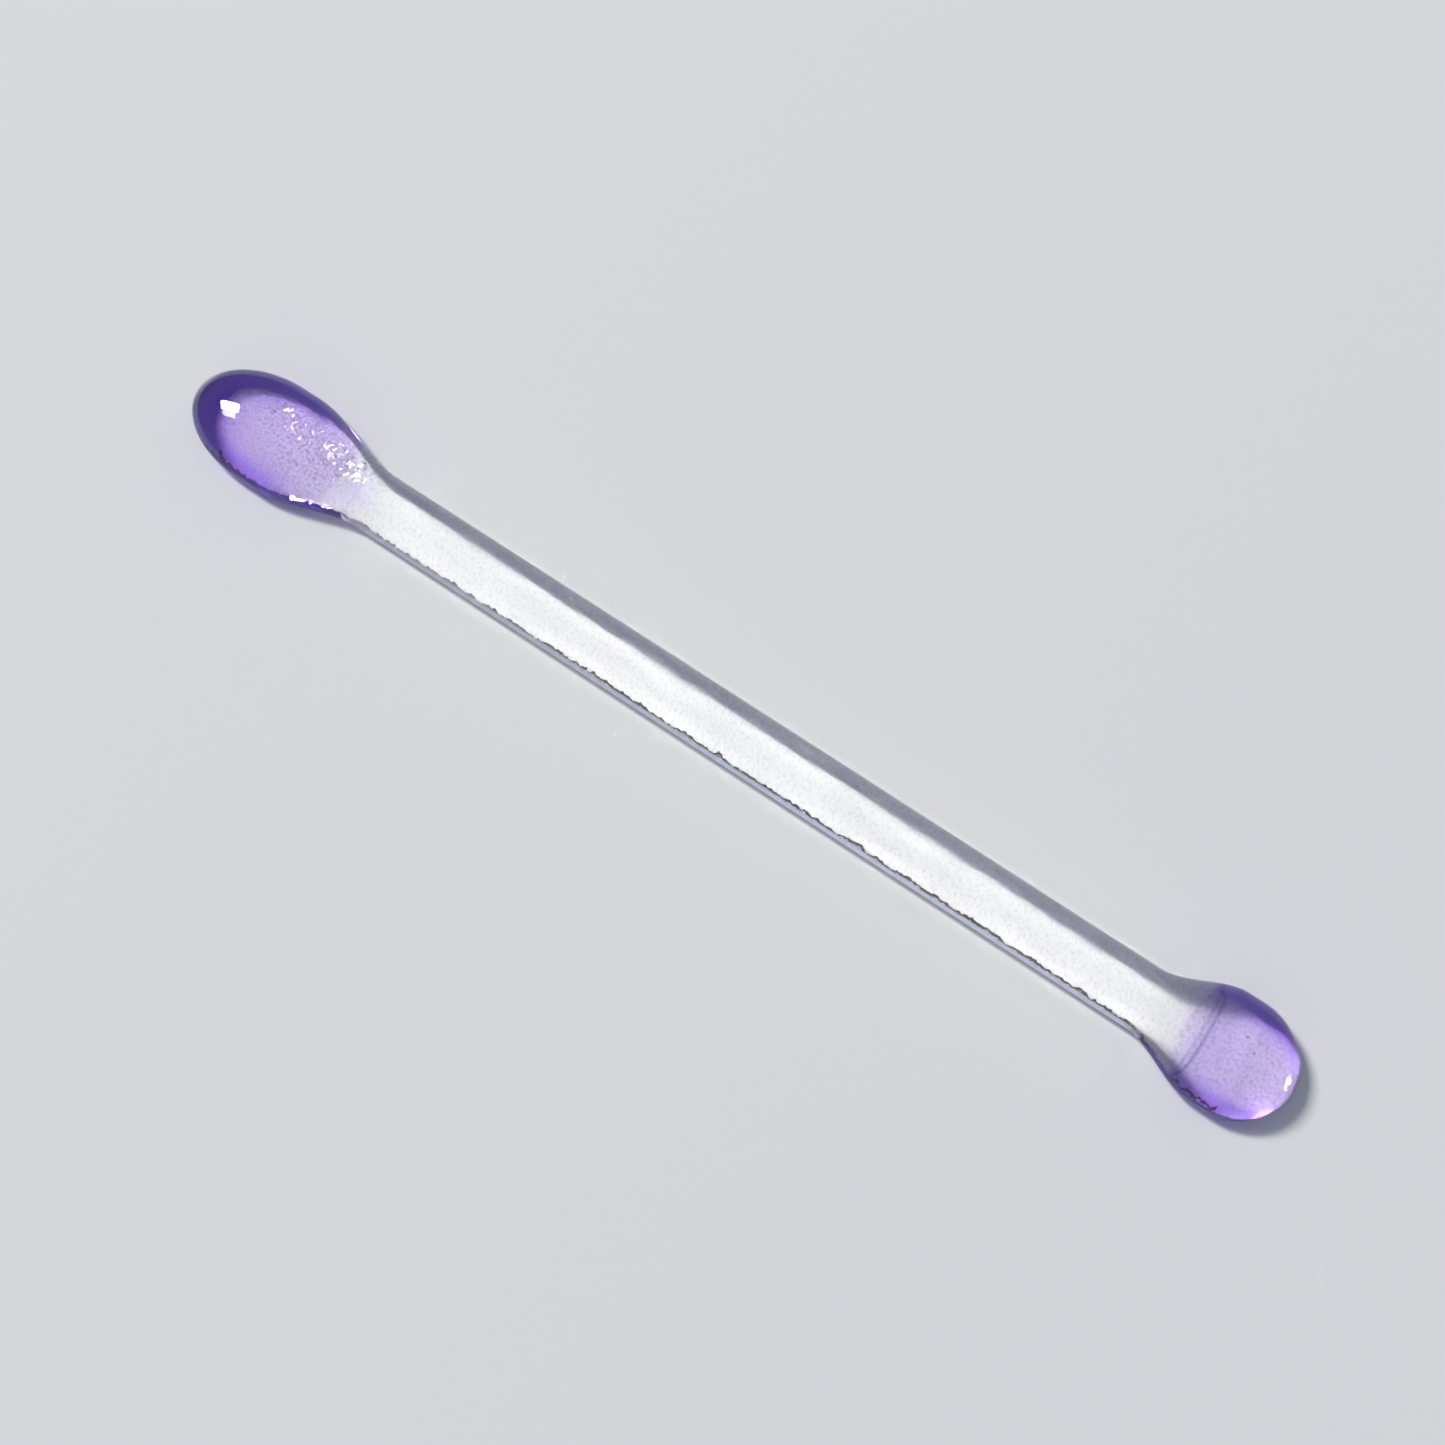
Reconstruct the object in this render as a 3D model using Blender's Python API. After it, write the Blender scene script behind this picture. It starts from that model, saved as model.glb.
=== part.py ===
"""Glass stir stick: a clear strip with a purple glass cap melted onto each end.

The stick lies on its flat underside along X. Its paddle end is at -X and its round drop end
at +X, and the origin is under the middle of its length. All sizes are in metres.
"""

import math
from collections import namedtuple

import bmesh
import bpy

NAME = "glass_stir_stick"

# The whole stick
LENGTH = 0.160
SHAFT_HALF_WIDTH = 0.0041
SHAFT_HEIGHT = 0.00435

# Each end, with its lengths measured inwards from the tip
End = namedtuple("End", "side half_width height nose shoulder neck cap core_end core_crest")
PADDLE = End(
    side=-1,            # which way the end points along X
    half_width=0.0073,
    height=0.0056,
    nose=0.0114,        # the rounded tip reaches full width here
    shoulder=0.0140,    # the full width ends here
    neck=0.0288,        # the outline has narrowed to the shaft here
    cap=0.0240,         # the purple cap ends here on the top surface
    core_end=0.0048,    # the clear base ends here, inside the cap
    core_crest=0.0225,  # the core's middle
)
DROP = End(
    side=1,
    half_width=0.0073,
    height=0.0056,
    nose=0.0076,
    shoulder=0.0095,
    neck=0.0195,
    cap=0.0145,
    core_end=0.0014,
    core_crest=0.0135,
)
ENDS = (PADDLE, DROP)

# The cross-section, which is that of a bead of melted glass
WAIST = 0.28            # height of the widest line, as a share of the local height
UNDERCUT = 0.00085      # how far the underside's edge lies inside the widest line
UNDERCUT_TURN = math.radians(70)
DOME_POWER = 2.07       # 2 is an ellipse, and more is flatter on top with fuller shoulders

# The joint between the base and a cap. Under a cap the base is a low, round-ended bead, its
# core, and the cap has melted over the core and down its sides.
CORE_HALF_WIDTH = 0.0048
CORE_HEIGHT = 0.0037    # at its middle
CORE_RISE = 0.35        # how much it gains towards the tip, as a share of that height
CORE_POWER = 3.3        # 2 is an ellipsoid, and more is boxier
JOINT_RADIUS = 0.014    # plan radius of the cap's inner edge, at the shaft's height
JOINT_RUN = 0.25        # how far that edge leans out for each unit of rise
JOINT_REACH = 0.010     # height of the joint's cutter
JOINT_BELOW = 0.001     # how far that cutter starts below the underside
GAP = 0.0003            # clearance between the base and a cap

# Fineness of the mesh
SHAFT_STATIONS = 12
NECK_STATIONS = 12
NOSE_STATIONS = 20
LOWER_LEVELS = 4
UPPER_LEVELS = 9
JOINT_SIDES = 128
CORE_SIDES = 64
CORE_RINGS = 24

CLEAR_GLASS = {"color": (0.80, 0.82, 0.84), "roughness": 0.05}
PURPLE_GLASS = {"color": (0.42, 0.31, 0.74), "roughness": 0.04}


def smooth_step(t):
    """A smooth climb from 0 to 1 as t goes from 0 to 1."""
    t = min(max(t, 0.0), 1.0)
    return t * t * (3 - 2 * t)


def swell(end, x):
    """How far the outline has swelled from the shaft's size to the end's size at x, from 0 to 1."""
    inwards = LENGTH / 2 - end.side * x
    return smooth_step((end.neck - inwards) / (end.neck - end.shoulder))


def half_width_at(x):
    """Half the width of the outline at x, between the two noses."""
    return SHAFT_HALF_WIDTH + sum(swell(e, x) * (e.half_width - SHAFT_HALF_WIDTH) for e in ENDS)


def height_at(x):
    """Height of the top's middle line at x, between the two noses."""
    return SHAFT_HEIGHT + sum(swell(e, x) * (e.height - SHAFT_HEIGHT) for e in ENDS)


def nose_centre(end):
    """Where along X the end's nose begins."""
    return end.side * (LENGTH / 2 - end.nose)


def spread(start, stop, count):
    """Evenly spaced values from start up to but not including stop."""
    return [start + (stop - start) * i / count for i in range(count)]


def stations():
    """Places along X from nose to nose, closer together where the outline changes."""
    paddle_neck = PADDLE.neck - LENGTH / 2
    drop_neck = LENGTH / 2 - DROP.neck
    xs = spread(nose_centre(PADDLE), paddle_neck, NECK_STATIONS)
    xs += spread(paddle_neck, drop_neck, SHAFT_STATIONS)
    xs += spread(drop_neck, nose_centre(DROP), NECK_STATIONS)
    return xs + [nose_centre(DROP)]


# A spoke runs from a point on the top's middle line out to the widest line. Its foot is the
# index of the station it starts from.
Spoke = namedtuple("Spoke", "foot x reach_x reach_y half_width height")


def nose_spokes(end, foot):
    """The spokes that fan round an end's nose, turning anticlockwise seen from above."""
    spokes = []
    for i in range(1, NOSE_STATIONS):
        turn = math.pi * i / NOSE_STATIONS
        reach_x = end.side * end.nose * math.sin(turn)
        reach_y = -end.side * end.half_width * math.cos(turn)
        spokes.append(Spoke(foot, nose_centre(end), reach_x, reach_y, end.half_width, end.height))
    return spokes


def plan_spokes(xs):
    """All spokes once round the plan, anticlockwise from the paddle's right-hand side."""
    sides = {}
    for side in (-1, 1):
        sides[side] = [
            Spoke(i, x, 0.0, side * half_width_at(x), half_width_at(x), height_at(x))
            for i, x in enumerate(xs)
        ]
    drop = nose_spokes(DROP, len(xs) - 1)
    paddle = nose_spokes(PADDLE, 0)
    return sides[-1] + drop + sides[1][::-1] + paddle


def levels():
    """The section's levels from the underside's edge up to the last one below the middle line."""
    lower = [("under", a) for a in spread(UNDERCUT_TURN, 0.0, LOWER_LEVELS)]
    upper = [("dome", a) for a in spread(0.0, math.pi / 2, UPPER_LEVELS)]
    return lower + upper


def place(spoke, level):
    """The point where a spoke's section meets a level."""
    kind, turn = level
    waist = WAIST * spoke.height
    if kind == "under":
        inset = (1 - math.cos(turn)) / (1 - math.cos(UNDERCUT_TURN))
        share = 1 - inset * UNDERCUT / spoke.half_width
        z = waist * (1 - math.sin(turn) / math.sin(UNDERCUT_TURN))
    else:
        share = math.cos(turn) ** (2 / DOME_POWER)
        z = waist + (spoke.height - waist) * math.sin(turn) ** (2 / DOME_POWER)
    return (spoke.x + spoke.reach_x * share, spoke.reach_y * share, z)


def fused_form(name, collection):
    """The whole melted stick as one closed mesh: a loft from its flat underside to its top line."""
    xs = stations()
    spokes = plan_spokes(xs)
    bm = bmesh.new()
    rings = [[bm.verts.new(place(s, level)) for s in spokes] for level in levels()]
    crest = [bm.verts.new((x, 0.0, height_at(x))) for x in xs]

    bm.faces.new(rings[0][::-1])
    for low, high in zip(rings, rings[1:]):
        for i in range(len(spokes)):
            j = (i + 1) % len(spokes)
            bm.faces.new((low[i], low[j], high[j], high[i]))
    last = rings[-1]
    for i, spoke in enumerate(spokes):
        j = (i + 1) % len(spokes)
        here, there = crest[spoke.foot], crest[spokes[j].foot]
        corners = (last[i], last[j], here) if here is there else (last[i], last[j], there, here)
        bm.faces.new(corners)
    bmesh.ops.recalc_face_normals(bm, faces=bm.faces)

    mesh = bpy.data.meshes.new(name)
    bm.to_mesh(mesh)
    bm.free()
    mesh.shade_smooth()
    mesh.set_sharp_from_angle(angle=math.radians(40))
    form = bpy.data.objects.new(name, mesh)
    collection.objects.link(form)
    return form


def as_cutter(cutter, name, collection):
    """Names a new object, moves it to the collection and keeps it out of sight."""
    cutter.name = name
    for owner in list(cutter.users_collection):
        owner.objects.unlink(cutter)
    collection.objects.link(cutter)
    cutter.display_type = "WIRE"
    cutter.hide_render = True
    return cutter


def core_cutter(name, end, margin, collection):
    """The base's core under a cap. The margin makes it larger all over."""
    bpy.ops.mesh.primitive_uv_sphere_add(
        segments=CORE_SIDES,
        ring_count=CORE_RINGS,
        radius=1.0,
        location=(end.side * (LENGTH / 2 - end.core_crest), 0, 0),
    )
    core = bpy.context.object
    halves = (end.core_crest - end.core_end, CORE_HALF_WIDTH, CORE_HEIGHT)
    for vertex in core.data.vertices:
        shares = [math.copysign(abs(c) ** (2 / CORE_POWER), c) for c in vertex.co]
        vertex.co = [share * (half + margin) for share, half in zip(shares, halves)]
        vertex.co.z *= 1 + CORE_RISE * end.side * shares[0]
    return as_cutter(core, name, collection)


def joint_cutter(name, end, margin, collection):
    """A leaning round block over an end, which covers the cap, less the base's core."""
    bottom_radius = JOINT_RADIUS + margin - JOINT_RUN * (SHAFT_HEIGHT + JOINT_BELOW)
    bpy.ops.mesh.primitive_cone_add(
        vertices=JOINT_SIDES,
        radius1=bottom_radius,
        radius2=bottom_radius + JOINT_RUN * JOINT_REACH,
        depth=JOINT_REACH,
        location=(
            end.side * (LENGTH / 2 - end.cap + JOINT_RADIUS),
            0,
            JOINT_REACH / 2 - JOINT_BELOW,
        ),
    )
    block = as_cutter(bpy.context.object, name, collection)
    cut(block, core_cutter(name + "_core", end, GAP - margin, collection), "DIFFERENCE")
    return block


def cut(piece, cutter, operation):
    """Cuts a piece with an exact Boolean."""
    modifier = piece.modifiers.new(operation.lower(), "BOOLEAN")
    modifier.operation = operation
    modifier.solver = "EXACT"
    modifier.object = cutter


def glass(name, color, roughness):
    """A Principled glass material."""
    material = bpy.data.materials.new(name)
    material.use_nodes = True
    shader = material.node_tree.nodes["Principled BSDF"]
    shader.inputs["Base Color"].default_value = (*color, 1.0)
    shader.inputs["Roughness"].default_value = roughness
    shader.inputs["Metallic"].default_value = 0.0
    shader.inputs["Transmission Weight"].default_value = 1.0
    shader.inputs["IOR"].default_value = 1.52
    return material


def clear_scene():
    """Removes whatever the scene holds."""
    for ob in list(bpy.data.objects):
        bpy.data.objects.remove(ob, do_unlink=True)


def new_collection(name):
    """A new collection in the scene."""
    collection = bpy.data.collections.new(name)
    bpy.context.scene.collection.children.link(collection)
    return collection


def main():
    clear_scene()
    parts = new_collection(NAME)
    cutters = new_collection("cutters")
    clear = glass("clear_glass", **CLEAR_GLASS)
    purple = glass("purple_glass", **PURPLE_GLASS)

    base = fused_form("clear_base_strip", parts)
    base.data.materials.append(clear)
    for name, end in (("purple_paddle_cap", PADDLE), ("purple_drop_cap", DROP)):
        cap = fused_form(name, parts)
        cap.data.materials.append(purple)
        cut(cap, joint_cutter(name + "_cutter", end, 0.0, cutters), "INTERSECT")
        cut(base, joint_cutter(name + "_seat", end, GAP, cutters), "DIFFERENCE")


main()
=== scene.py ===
"""Looks of the glass stir stick: fine meshes and real glass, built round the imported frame.

The stick is a clear strip with a purple cap melted onto each end. Every size is in metres.
"""

import math
from collections import namedtuple

import bmesh
import bpy
import numpy as np
from mathutils import Matrix, Quaternion, Vector, kdtree, noise


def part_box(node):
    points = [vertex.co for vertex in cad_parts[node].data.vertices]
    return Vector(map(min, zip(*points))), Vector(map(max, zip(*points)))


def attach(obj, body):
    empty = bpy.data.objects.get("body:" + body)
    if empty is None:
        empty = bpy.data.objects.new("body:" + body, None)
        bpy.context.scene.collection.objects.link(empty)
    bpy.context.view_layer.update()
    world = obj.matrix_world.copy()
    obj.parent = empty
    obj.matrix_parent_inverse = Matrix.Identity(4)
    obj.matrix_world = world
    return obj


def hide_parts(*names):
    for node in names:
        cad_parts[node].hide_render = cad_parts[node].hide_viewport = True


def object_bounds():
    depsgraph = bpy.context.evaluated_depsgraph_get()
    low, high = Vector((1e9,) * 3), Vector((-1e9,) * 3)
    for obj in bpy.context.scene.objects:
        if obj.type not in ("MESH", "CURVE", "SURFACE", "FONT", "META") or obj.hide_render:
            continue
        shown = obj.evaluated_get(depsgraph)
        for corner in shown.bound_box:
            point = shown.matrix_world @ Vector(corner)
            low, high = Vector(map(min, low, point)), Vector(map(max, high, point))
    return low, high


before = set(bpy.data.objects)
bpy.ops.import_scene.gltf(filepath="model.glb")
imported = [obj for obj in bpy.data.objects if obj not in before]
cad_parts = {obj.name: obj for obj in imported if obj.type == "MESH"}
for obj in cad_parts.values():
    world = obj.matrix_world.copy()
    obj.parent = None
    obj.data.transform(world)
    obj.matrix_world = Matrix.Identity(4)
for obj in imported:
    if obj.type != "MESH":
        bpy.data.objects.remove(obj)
cad_low, cad_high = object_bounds()

# ---- Sizes that come from the frame ---------------------------------------------------------

LENGTH = cad_high.x - cad_low.x
PADDLE_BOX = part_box("purple_paddle_cap")
DROP_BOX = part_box("purple_drop_cap")

# ---- Sizes of the melted form, as in the CAD part -------------------------------------------

SHAFT_HALF_WIDTH = 0.0041
SHAFT_HEIGHT = 0.00435

End = namedtuple("End", "side half_width height nose shoulder neck cap core_end core_crest")
PADDLE = End(
    side=-1,
    half_width=PADDLE_BOX[1].y,
    height=PADDLE_BOX[1].z,
    nose=0.0114,
    shoulder=0.0140,
    neck=0.0288,
    cap=0.0240,
    core_end=0.0048,
    core_crest=0.0225,
)
DROP = End(
    side=1,
    half_width=DROP_BOX[1].y,
    height=DROP_BOX[1].z,
    nose=0.0076,
    shoulder=0.0095,
    neck=0.0195,
    cap=0.0145,
    core_end=0.0014,
    core_crest=0.0135,
)
ENDS = (PADDLE, DROP)

WAIST = 0.28
UNDERCUT = 0.00085
UNDERCUT_TURN = math.radians(70)
DOME_POWER = 2.07

CORE_HALF_WIDTH = 0.0048
CORE_HEIGHT = 0.0037
CORE_RISE = 0.35
CORE_POWER = 3.3
JOINT_RADIUS = 0.014
JOINT_RUN = 0.25
JOINT_REACH = 0.010
JOINT_BELOW = 0.001
JOINT_GAP = 0.000004    # the glass of a cap and of the base all but touch

# The underside, which took its texture from the kiln shelf
FLOOR_LIFT = 0.00026    # how far it curves up towards its edge
FLOOR_LIFT_POWER = 4
RAGGED_SHARE = 0.28     # how much its edge wanders, as a share of the undercut
RAGGED_SCALES = ((0.0028, 0.35), (0.0009, 0.40), (0.0004, 0.25))
RELIEF_SCALES = ((0.0016, 0.000012), (0.0007, 0.000012), (0.0004, 0.000008))

# Painted shade: a dark line along one side of the underside, just inside its edge, that stands
# for the shade there
LINE_INSET = 0.00100    # how far inside the underside's edge it runs
LINE_SIDE_Y = -0.001    # it runs where Y is less than this
LINE_MIDDLE = 0.0007
LINE_REACH = 0.0730     # how far it runs each way from its middle
LINE_HALF_WIDTHS = (0.00005, 0.00017)
LINE_NOISE_RANGE = (0.38, 0.65)
LINE_NOISE_SCALE = 2000.0

# Painted shadows: thin dark lines across the underside that stand for the shadow each cap's edge
# casts on the floor. Place along X and half width
PAINTED_SHADOW_LINES = ((-0.0545, 0.00014), (0.0683, 0.00035))
PAINTED_SHADOW_COLOR = (0.10, 0.12, 0.50)
PAINTED_SHADOW_STRENGTH = 0.4

# Faint specks all over the underside
SPECK_NOISE_RANGE = (0.47, 0.70)
SPECK_NOISE_SCALE = 2600.0

UNDERSIDE_ROUGHNESS = 0.03

# Crinkled patches of the underside: middle x and y, half length and half width, and the share
# of their facets that stand up
CRINKLES = (
    (-0.0565, 0.0021, 0.0046, 0.0016, 0.95),
    (-0.0650, 0.0026, 0.0060, 0.0018, 0.35),
)
CRINKLE_CELL = 0.0007
CRINKLE_RISE = 0.00004
CRINKLE_TILT = Vector((0.067, -0.09))    # the slope that sends the window's light up to the eye
CRINKLE_SPREAD = 0.16

# Bubbles in the caps: side, x, y, z and radius
BUBBLES = (
    (-1, -0.0682, 0.0018, 0.0047, 0.00016),
    (1, 0.0721, 0.0019, 0.0046, 0.00015),
    (1, 0.0735, 0.0007, 0.0047, 0.00013),
)

# ---- Glass ----------------------------------------------------------------------------------

GLASS_INDEX = 1.52

# Absorption colour and density, colour of the specks and of the painted shade underneath, and
# strength of the specks
Glass = namedtuple("Glass", "color density residue_color speckle")
CLEAR_GLASS = Glass((0.9, 0.95, 1.0), 2.0, (0.03, 0.03, 0.02), 0.22)
PURPLE_GLASS = Glass((0.42, 0.13, 0.90), 228.0, (0.12, 0.02, 0.10), 0.06)

SHARP_ANGLE = math.radians(22)

# ---- Fineness -------------------------------------------------------------------------------

STATION_STEP = 0.00015
NOSE_STATIONS = 120
FLOOR_LEVELS = 36
LOWER_LEVELS = 8
UPPER_LEVELS = 26
JOINT_SIDES = 256
CORE_SIDES = 128
CORE_RINGS = 48

# ---- Floor, light and camera ----------------------------------------------------------------

FLOOR_SIZE = 4.0
FLOOR_COLOR = (0.72, 0.72, 0.73)
REST_LIFT = 0.00002     # the air that stays under a glass piece lying on paper
KEY_DISTANCE = 6.0
KEY_ELEVATION = math.radians(43)
KEY_AZIMUTH = math.radians(-7.7)

# The window's panes: offset across and up, width and height in degrees, power and colour
PANES = (
    (0.0, 0.0, 8.0, 13.0, 316.0, (1.0, 0.985, 0.90)),
    (7.4, -0.5, 5.5, 9.0, 30.0, (0.80, 0.90, 1.0)),
)
PANE_ROLL = math.radians(30)
SKY_COLOR = (0.74, 0.79, 1.0)
SKY_SIDES = 0.64        # strength overhead and across the stick
SKY_ENDS = 0.0          # strength beyond the stick's two ends

CAMERA_TILT = math.radians(16)
CAMERA_ROLL = math.radians(33.93)
CAMERA_DISTANCE = 0.1993
CAMERA_TARGET = Vector((0.00131, 0.00019, 0.002))
FRAME_PIXELS = 1445
FOCAL_PIXELS = 1636.0
SENSOR_WIDTH = 36.0


# ---- The melted form ------------------------------------------------------------------------

def smooth_step(t):
    """A smooth climb from 0 to 1 as t goes from 0 to 1."""
    t = np.clip(t, 0.0, 1.0)
    return t * t * (3 - 2 * t)


def swell(end, x):
    """How far the outline has swelled from the shaft's size to the end's size at x."""
    inwards = LENGTH / 2 - end.side * x
    return smooth_step((end.neck - inwards) / (end.neck - end.shoulder))


def half_width_at(x):
    """Half the width of the outline at x, between the two noses."""
    return SHAFT_HALF_WIDTH + sum(swell(e, x) * (e.half_width - SHAFT_HALF_WIDTH) for e in ENDS)


def height_at(x):
    """Height of the top's middle line at x, between the two noses."""
    return SHAFT_HEIGHT + sum(swell(e, x) * (e.height - SHAFT_HEIGHT) for e in ENDS)


def wander(points, scales):
    """Smooth seeded noise at each point: the sum of a few scales, each with its own size."""
    total = np.zeros(len(points))
    for i, (scale, size) in enumerate(scales):
        shift = Vector((17.3 * i, 5.1 * i, 2.7 * i))
        total += [size * noise.noise(Vector(p) / scale + shift) for p in points]
    return total


def crinkle(points):
    """Rise of the crinkled patches: small facets that lean much the same way."""
    rise = np.zeros(len(points))
    for x, y, half_length, half_width, share in CRINKLES:
        off = ((points[:, 0] - x) / half_length) ** 2 + ((points[:, 1] - y) / half_width) ** 2
        for i in np.flatnonzero(off < 1):
            spot = Vector(points[i]) / CRINKLE_CELL
            middle = noise.voronoi(spot)[1][0]
            turn = noise.cell_vector(middle * 7.3)
            if turn.z > share:
                continue
            tilt = CRINKLE_TILT + CRINKLE_SPREAD * (turn.to_2d() - Vector((0.5, 0.5)))
            away = (spot - middle).to_2d() * CRINKLE_CELL
            rise[i] += (1 - off[i]) ** 0.25 * (CRINKLE_RISE + tilt.dot(away))
    return np.maximum(rise, 0)


def spokes_round_plan():
    """The stations along X and, once round the plan, the spokes as rows of
    station index, foot x, reach x, reach y, half width, height and undercut."""
    first = PADDLE.side * (LENGTH / 2 - PADDLE.nose)
    last = DROP.side * (LENGTH / 2 - DROP.nose)
    xs = np.linspace(first, last, int((last - first) / STATION_STEP))
    sides = {}
    for side in (-1, 1):
        wide = half_width_at(xs)
        sides[side] = np.column_stack(
            (np.arange(len(xs)), xs, 0 * xs, side * wide, wide, height_at(xs))
        )
    noses = {}
    turn = np.pi * np.arange(1, NOSE_STATIONS) / NOSE_STATIONS
    for end, foot in ((PADDLE, 0), (DROP, len(xs) - 1)):
        ones = np.ones_like(turn)
        noses[end.side] = np.column_stack((
            ones * foot,
            ones * xs[foot],
            end.side * end.nose * np.sin(turn),
            -end.side * end.half_width * np.cos(turn),
            ones * end.half_width,
            ones * end.height,
        ))
    spokes = np.concatenate((sides[-1], noses[1], sides[1][::-1], noses[-1]))
    outline = np.column_stack((spokes[:, 1] + spokes[:, 2], spokes[:, 3], 0 * spokes[:, 0]))
    ragged = UNDERCUT * (1 + RAGGED_SHARE * 2 * wander(outline, RAGGED_SCALES))
    return xs, np.column_stack((spokes, ragged))


def level_points(spokes, kind, turn):
    """Points of one level of the section on every spoke."""
    foot_x, reach_x, reach_y, half_width, height, undercut = spokes[:, 1:].T
    waist = WAIST * height
    if kind == "floor":
        share = turn * (1 - undercut / half_width)
        z = FLOOR_LIFT * turn ** FLOOR_LIFT_POWER + 0 * height
    elif kind == "under":
        inset = (1 - math.cos(turn)) / (1 - math.cos(UNDERCUT_TURN))
        share = 1 - inset * undercut / half_width
        fall = math.sin(turn) / math.sin(UNDERCUT_TURN)
        z = waist * (1 - fall) + FLOOR_LIFT * fall
    else:
        share = math.cos(turn) ** (2 / DOME_POWER) + 0 * height
        z = waist + (height - waist) * math.sin(turn) ** (2 / DOME_POWER)
    points = np.column_stack((foot_x + reach_x * share, reach_y * share, z))
    if kind == "floor":
        flat = points * (1, 1, 0)
        points[:, 2] += np.abs(wander(flat, RELIEF_SCALES)) + crinkle(flat)
        inset = (1 - turn) * (half_width - undercut) * (SHAFT_HEIGHT / height) ** 0.9
    else:
        inset = FLOOR_LIFT - z if kind == "under" else -height
    return points, inset


def levels():
    """The section's levels from the underside's middle, round the side, and up to the crest."""
    floor = [("floor", i / FLOOR_LEVELS) for i in range(1, FLOOR_LEVELS)]
    lower = [("under", UNDERCUT_TURN * (1 - i / LOWER_LEVELS)) for i in range(LOWER_LEVELS)]
    upper = [("dome", math.pi / 2 * i / UPPER_LEVELS) for i in range(UPPER_LEVELS)]
    return floor + lower + upper


def close_with_line(bm, ring, line, spokes, upward):
    """Closes a ring of points with a middle line that runs from nose to nose."""
    count = len(ring)
    for i in range(count):
        j = (i + 1) % count
        here, there = line[int(spokes[i, 0])], line[int(spokes[j, 0])]
        corners = [ring[i], ring[j], here] if here is there else [ring[i], ring[j], there, here]
        bm.faces.new(corners if upward else corners[::-1])


def fused_form(name):
    """The whole melted stick as one closed fine mesh."""
    xs, spokes = spokes_round_plan()
    bm = bmesh.new()
    inset_layer = bm.verts.layers.float.new("inset")

    def line_of_verts(points, insets):
        verts = [bm.verts.new(point) for point in points]
        for vert, inset in zip(verts, insets):
            vert[inset_layer] = inset
        return verts

    rings = [line_of_verts(*level_points(spokes, kind, turn)) for kind, turn in levels()]
    keel = line_of_verts([(x, 0.0, 0.0) for x in xs], half_width_at(xs) - UNDERCUT)
    crest = line_of_verts([(x, 0.0, height_at(x)) for x in xs], -height_at(xs))
    close_with_line(bm, rings[0], keel, spokes, upward=False)
    for low, high in zip(rings, rings[1:]):
        for i in range(len(spokes)):
            j = (i + 1) % len(spokes)
            bm.faces.new((low[i], low[j], high[j], high[i]))
    close_with_line(bm, rings[-1], crest, spokes, upward=True)
    bmesh.ops.recalc_face_normals(bm, faces=bm.faces)
    bmesh.ops.translate(bm, verts=bm.verts, vec=(0, 0, REST_LIFT))
    mesh = bpy.data.meshes.new(name)
    bm.to_mesh(mesh)
    bm.free()
    form = bpy.data.objects.new(name, mesh)
    bpy.context.scene.collection.objects.link(form)
    return form


def core_cutter(end, margin):
    """The clear glass under a cap, which is a low, round-ended bead."""
    bpy.ops.mesh.primitive_uv_sphere_add(
        segments=CORE_SIDES,
        ring_count=CORE_RINGS,
        radius=1.0,
        location=(end.side * (LENGTH / 2 - end.core_crest), 0, 0),
    )
    core = bpy.context.object
    halves = (end.core_crest - end.core_end, CORE_HALF_WIDTH, CORE_HEIGHT)
    for vertex in core.data.vertices:
        shares = [math.copysign(abs(c) ** (2 / CORE_POWER), c) for c in vertex.co]
        vertex.co = [share * (half + margin) for share, half in zip(shares, halves)]
        vertex.co.z *= 1 + CORE_RISE * end.side * shares[0]
    return core


def joint_cutter(end, margin):
    """A leaning round block over an end, which covers the cap, less the clear core."""
    bottom_radius = JOINT_RADIUS + margin - JOINT_RUN * (SHAFT_HEIGHT + JOINT_BELOW)
    bpy.ops.mesh.primitive_cone_add(
        vertices=JOINT_SIDES,
        radius1=bottom_radius,
        radius2=bottom_radius + JOINT_RUN * JOINT_REACH,
        depth=JOINT_REACH,
        location=(
            end.side * (LENGTH / 2 - end.cap + JOINT_RADIUS),
            0,
            JOINT_REACH / 2 - JOINT_BELOW,
        ),
    )
    block = bpy.context.object
    cut(block, core_cutter(end, JOINT_GAP - margin), "DIFFERENCE")
    with_joint_faces(block, 1)
    return block


def with_joint_faces(piece, index):
    """Gives every face one material index. It is 1 on a cutter, and so on the faces it leaves."""
    piece.data.materials.clear()
    for _ in range(2):
        piece.data.materials.append(None)
    piece.data.polygons.foreach_set("material_index", [index] * len(piece.data.polygons))


def cut(piece, cutter, operation):
    """Cuts a piece with an exact Boolean and applies it."""
    modifier = piece.modifiers.new(operation.lower(), "BOOLEAN")
    modifier.operation = operation
    modifier.solver = "EXACT"
    modifier.object = cutter
    graph = bpy.context.evaluated_depsgraph_get()
    mesh = bpy.data.meshes.new_from_object(piece.evaluated_get(graph))
    piece.modifiers.clear()
    piece.data = mesh
    bpy.data.objects.remove(cutter, do_unlink=True)


# ---- Materials ------------------------------------------------------------------------------

def principled(name):
    """A new node material and its Principled shader."""
    material = bpy.data.materials.new(name)
    material.use_nodes = True
    return material, material.node_tree.nodes["Principled BSDF"]


def node_maker(material):
    """A shorthand that makes a node, sets its inputs and links sockets given as inputs."""
    tree = material.node_tree

    def make(kind, inputs, **settings):
        node = tree.nodes.new("ShaderNode" + kind)
        for key, value in settings.items():
            setattr(node, key, value)
        for key, value in inputs.items():
            if isinstance(value, bpy.types.NodeSocket):
                tree.links.new(value, node.inputs[key])
            else:
                node.inputs[key].default_value = value
        return node.outputs

    return make


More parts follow.
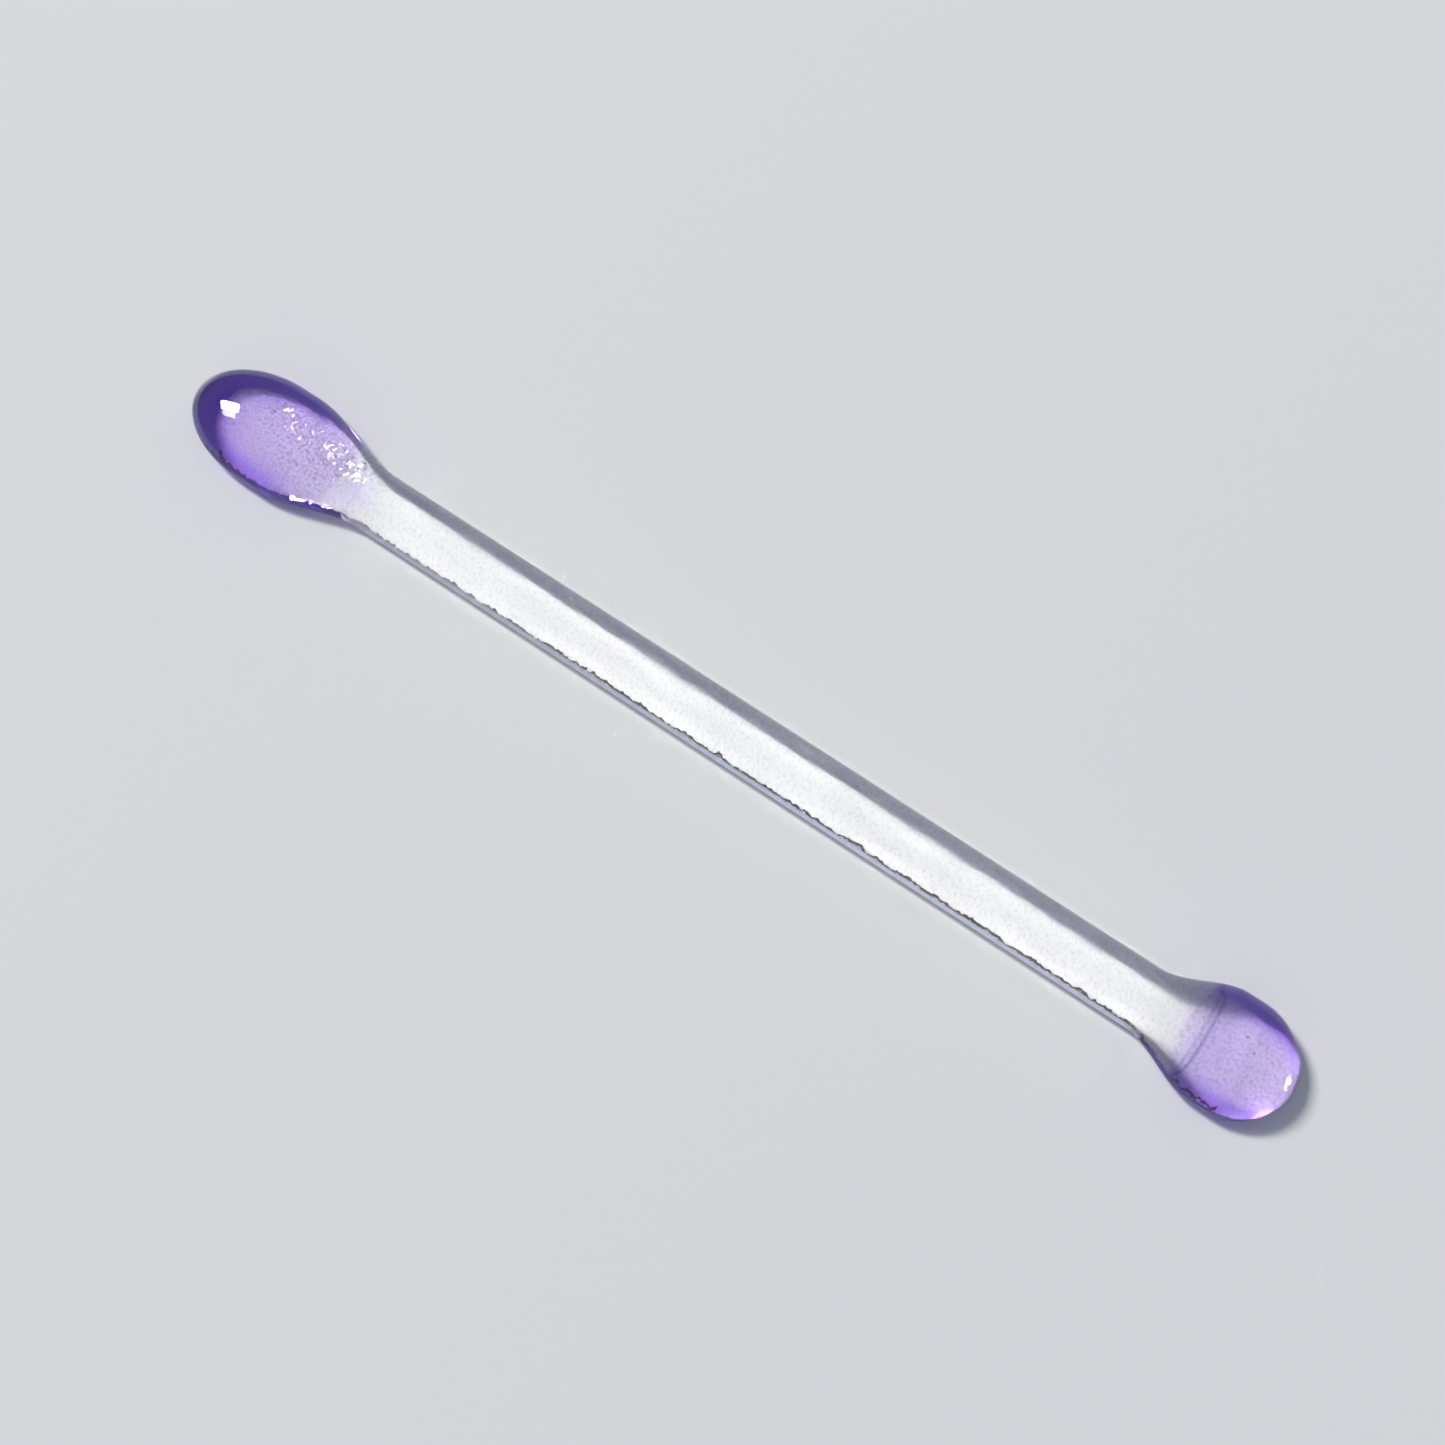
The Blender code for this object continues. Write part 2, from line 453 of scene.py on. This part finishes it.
def underside_specks_and_painted_shade(material, shader, kind):
    """The underside's colour: a ragged dark line inside one edge, painted as shade, thin dark
    lines across it, painted as the shadows of the caps' edges, and faint specks.
    """
    make = node_maker(material)
    links = material.node_tree.links
    inset = make("Attribute", {}, attribute_name="inset")["Fac"]
    joint = make("Attribute", {}, attribute_name="joint")["Fac"]
    place = make("TexCoord", {})["Object"]
    spot = make("SeparateXYZ", {"Vector": place})

    # Painted shade: a ragged dark line inside the underside's edge, on one side only
    edge_noise = make(
        "TexNoise", {"Vector": place, "Scale": LINE_NOISE_SCALE, "Detail": 4.0}
    )["Fac"]
    width = make("MapRange", {
        "Value": edge_noise,
        "From Min": LINE_NOISE_RANGE[0],
        "From Max": LINE_NOISE_RANGE[1],
        "To Min": LINE_HALF_WIDTHS[0],
        "To Max": LINE_HALF_WIDTHS[1],
    })["Result"]
    off_line = make("Math", {0: inset, 1: LINE_INSET}, operation="SUBTRACT")["Value"]
    off_line = make("Math", {0: off_line}, operation="ABSOLUTE")["Value"]
    on_line = make("Math", {0: off_line, 1: width}, operation="LESS_THAN")["Value"]
    one_side = make("Math", {0: spot["Y"], 1: LINE_SIDE_Y}, operation="LESS_THAN")["Value"]
    near_edge = make("Math", {0: on_line, 1: one_side}, operation="MULTIPLY")["Value"]
    mid_length = make(
        "Math", {0: spot["X"], 1: LINE_MIDDLE, 2: LINE_REACH}, operation="COMPARE"
    )["Value"]
    near_edge = make("Math", {0: near_edge, 1: mid_length}, operation="MULTIPLY")["Value"]
    # The painted shade's mask, kept off the faces where two glasses meet
    line = make("Math", {0: near_edge, 1: joint}, operation="SUBTRACT", use_clamp=True)["Value"]

    speck_noise = make(
        "TexNoise", {"Vector": place, "Scale": SPECK_NOISE_SCALE, "Detail": 3.0}
    )["Fac"]
    speck = make("MapRange", {
        "Value": speck_noise,
        "From Min": SPECK_NOISE_RANGE[0],
        "From Max": SPECK_NOISE_RANGE[1],
        "To Min": 0.0,
        "To Max": kind.speckle,
    })["Result"]
    under = make("Math", {0: inset, 1: 0.0}, operation="GREATER_THAN")["Value"]
    specks = make("Math", {0: speck, 1: under}, operation="MULTIPLY")["Value"]
    specks_and_painted_shade = make("Math", {0: line, 1: specks}, operation="MAXIMUM")["Value"]

    tint = (1, 1, 1, 1)
    # Painted shadows: a thin dark line across the underside for the shadow of each cap's edge
    for place_x, half_width in PAINTED_SHADOW_LINES:
        off_painted_shadow = make("Math", {0: spot["X"], 1: place_x}, operation="SUBTRACT")["Value"]
        off_painted_shadow = make("Math", {0: off_painted_shadow}, operation="ABSOLUTE")["Value"]
        painted_shadow = make("MapRange", {
            "Value": off_painted_shadow,
            "From Min": 0.0,
            "From Max": half_width,
            "To Min": PAINTED_SHADOW_STRENGTH,
            "To Max": 0.0,
        })["Result"]
        painted_shadow = make("Math", {0: painted_shadow, 1: under}, operation="MULTIPLY")["Value"]
        tint = make("Mix", {"Factor": painted_shadow, 6: tint, 7: (*PAINTED_SHADOW_COLOR, 1)}, data_type="RGBA")[2]
    # The specks and the painted shade take one dark colour
    speck_and_shade_rgba = (*kind.residue_color, 1)
    tint = make("Mix", {"Factor": specks_and_painted_shade, 6: tint, 7: speck_and_shade_rgba}, data_type="RGBA")[2]
    links.new(tint, shader.inputs["Base Color"])
    rough = make("MapRange", {"Value": under, "To Min": 0.0, "To Max": UNDERSIDE_ROUGHNESS})
    links.new(rough["Result"], shader.inputs["Roughness"])


def glass(name, kind):
    """Glass whose colour comes from the light's path through it. Light isn't bent at a joint."""
    material, shader = principled(name)
    underside_specks_and_painted_shade(material, shader, kind)
    make = node_maker(material)
    nodes, links = material.node_tree.nodes, material.node_tree.links
    shader.inputs["Transmission Weight"].default_value = 1.0
    shader.inputs["IOR"].default_value = GLASS_INDEX
    joint = make("Attribute", {}, attribute_name="joint")["Fac"]
    index = make("Mix", {"Factor": joint, "A": GLASS_INDEX, "B": 1.0})["Result"]
    links.new(index, shader.inputs["IOR"])
    inside = make("VolumeAbsorption", {"Color": (*kind.color, 1), "Density": kind.density})
    links.new(inside["Volume"], nodes["Material Output"].inputs["Volume"])
    return material


def add_bubbles(piece, side):
    """Adds the small round voids of a cap, whose faces look into the void."""
    bm = bmesh.new()
    bm.from_mesh(piece.data)
    layer = bm.verts.layers.float["inset"]
    for _, x, y, z, radius in [bubble for bubble in BUBBLES if bubble[0] == side]:
        place = Matrix.Translation((x, y, z))
        made = bmesh.ops.create_icosphere(bm, subdivisions=3, radius=radius, matrix=place)
        faces = {face for vert in made["verts"] for face in vert.link_faces}
        bmesh.ops.reverse_faces(bm, faces=list(faces))
        for vert in made["verts"]:
            vert[layer] = -z
    bm.to_mesh(piece.data)
    bm.free()


def restore_inset(piece, tree, insets):
    """Gives the corners that a cut has made the inset of the nearest old corner."""
    attribute = piece.data.attributes["inset"].data
    for i, vertex in enumerate(piece.data.vertices):
        if attribute[i].value == 0.0:
            attribute[i].value = insets[tree.find(vertex.co)[1]]


def mark_joint(piece):
    """Writes the face attribute 'joint', which is 1 on the faces where two glasses meet."""
    mesh = piece.data
    index = np.zeros(len(mesh.polygons), np.int32)
    mesh.polygons.foreach_get("material_index", index)
    attribute = mesh.attributes.new("joint", "FLOAT", "FACE")
    attribute.data.foreach_set("value", index.astype(np.float32))
    mesh.polygons.foreach_set("material_index", np.zeros_like(index))


def floor_material():
    """Plain pale paper."""
    material, shader = principled("pale_floor")
    shader.inputs["Base Color"].default_value = (*FLOOR_COLOR, 1)
    shader.inputs["Roughness"].default_value = 0.9
    shader.inputs["Specular IOR Level"].default_value = 0.0
    return material


# ---- Scene ----------------------------------------------------------------------------------

def make_floor():
    """A wide plain floor."""
    bpy.ops.mesh.primitive_plane_add(size=FLOOR_SIZE)
    floor = bpy.context.object
    floor.name = "floor"
    floor.data.materials.append(floor_material())


def make_light():
    """Soft light from a window beyond the paddle, and a pale sky."""
    flat = Vector((math.cos(KEY_AZIMUTH), math.sin(KEY_AZIMUTH), 0))
    travel = flat * math.cos(KEY_ELEVATION) - Vector((0, 0, math.sin(KEY_ELEVATION)))
    turn = travel.to_track_quat("-Z", "Y") @ Quaternion((0, 0, 1), PANE_ROLL)
    degree = KEY_DISTANCE * math.radians(1)
    for across, up, width, height, power, color in PANES:
        data = bpy.data.lights.new("window_pane", "AREA")
        data.shape = "RECTANGLE"
        data.size = width * degree
        data.size_y = height * degree
        data.energy = power
        data.color = color
        pane = bpy.data.objects.new("window_pane", data)
        pane.location = turn @ Vector((across * degree, up * degree, KEY_DISTANCE))
        pane.rotation_euler = turn.to_euler()
        bpy.context.scene.collection.objects.link(pane)
    world = bpy.data.worlds.new("sky")
    world.use_nodes = True
    nodes, links = world.node_tree.nodes, world.node_tree.links
    background = nodes["Background"]
    background.inputs["Color"].default_value = (*SKY_COLOR, 1)
    direction = nodes.new("ShaderNodeTexCoord")
    split = nodes.new("ShaderNodeSeparateXYZ")
    links.new(direction.outputs["Generated"], split.inputs["Vector"])
    along = nodes.new("ShaderNodeMath")
    along.operation = "ABSOLUTE"
    links.new(split.outputs["X"], along.inputs[0])
    strength = nodes.new("ShaderNodeMapRange")
    strength.inputs["To Min"].default_value = SKY_SIDES
    strength.inputs["To Max"].default_value = SKY_ENDS
    links.new(along.outputs["Value"], strength.inputs["Value"])
    links.new(strength.outputs["Result"], background.inputs["Strength"])
    bpy.context.scene.world = world


def make_camera():
    """Looks down on the stick, turned so that the stick runs to the lower right."""
    down = Vector((math.sin(CAMERA_ROLL), -math.cos(CAMERA_ROLL), 0))
    right = Vector((math.cos(CAMERA_ROLL), math.sin(CAMERA_ROLL), 0))
    back = (math.sin(CAMERA_TILT) * down + math.cos(CAMERA_TILT) * Vector((0, 0, 1))).normalized()
    data = bpy.data.cameras.new("camera")
    data.sensor_width = SENSOR_WIDTH
    data.lens = SENSOR_WIDTH * FOCAL_PIXELS / FRAME_PIXELS
    camera = bpy.data.objects.new("camera", data)
    turn = Matrix((right, back.cross(right), back)).transposed().to_4x4()
    camera.matrix_world = Matrix.Translation(CAMERA_TARGET + CAMERA_DISTANCE * back) @ turn
    bpy.context.scene.collection.objects.link(camera)
    bpy.context.scene.camera = camera


def tune_render():
    """Lets light pass through the glass often enough, and keeps its bright focus on the floor."""
    scene = bpy.context.scene
    scene.view_settings.view_transform = "Standard"
    cycles = scene.cycles
    cycles.max_bounces = 24
    cycles.transmission_bounces = 24
    cycles.glossy_bounces = 12
    cycles.diffuse_bounces = 4
    cycles.transparent_max_bounces = 32
    cycles.sample_clamp_indirect = 0
    cycles.blur_glossy = 0
    cycles.use_denoising = True


def make_stick():
    """The three glass pieces."""
    clear = glass("clear_glass", CLEAR_GLASS)
    purple = glass("purple_glass", PURPLE_GLASS)
    base = fused_form("clear_base")
    with_joint_faces(base, 0)
    whole = base.data.copy()
    insets = [value.value for value in whole.attributes["inset"].data]
    tree = kdtree.KDTree(len(insets))
    for i, vertex in enumerate(whole.vertices):
        tree.insert(vertex.co, i)
    tree.balance()
    for end in ENDS:
        cut(base, joint_cutter(end, JOINT_GAP), "DIFFERENCE")
    pieces = [(base, clear, "clear_base_strip", "clear_glass")]
    for end, node in ((PADDLE, "purple_paddle_cap"), (DROP, "purple_drop_cap")):
        cap = bpy.data.objects.new(node.replace("purple", "fine"), whole.copy())
        bpy.context.scene.collection.objects.link(cap)
        cut(cap, joint_cutter(end, 0.0), "INTERSECT")
        add_bubbles(cap, end.side)
        pieces.append((cap, purple, node, "purple_glass"))
    for piece, material, node, slot in pieces:
        restore_inset(piece, tree, insets)
        mark_joint(piece)
        piece.data.materials.clear()
        piece.data.materials.append(material)
        piece.data.shade_smooth()
        piece.data.set_sharp_from_angle(angle=SHARP_ANGLE)
        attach(piece, "root")
        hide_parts(node)


make_stick()
make_floor()
make_light()
make_camera()
tune_render()
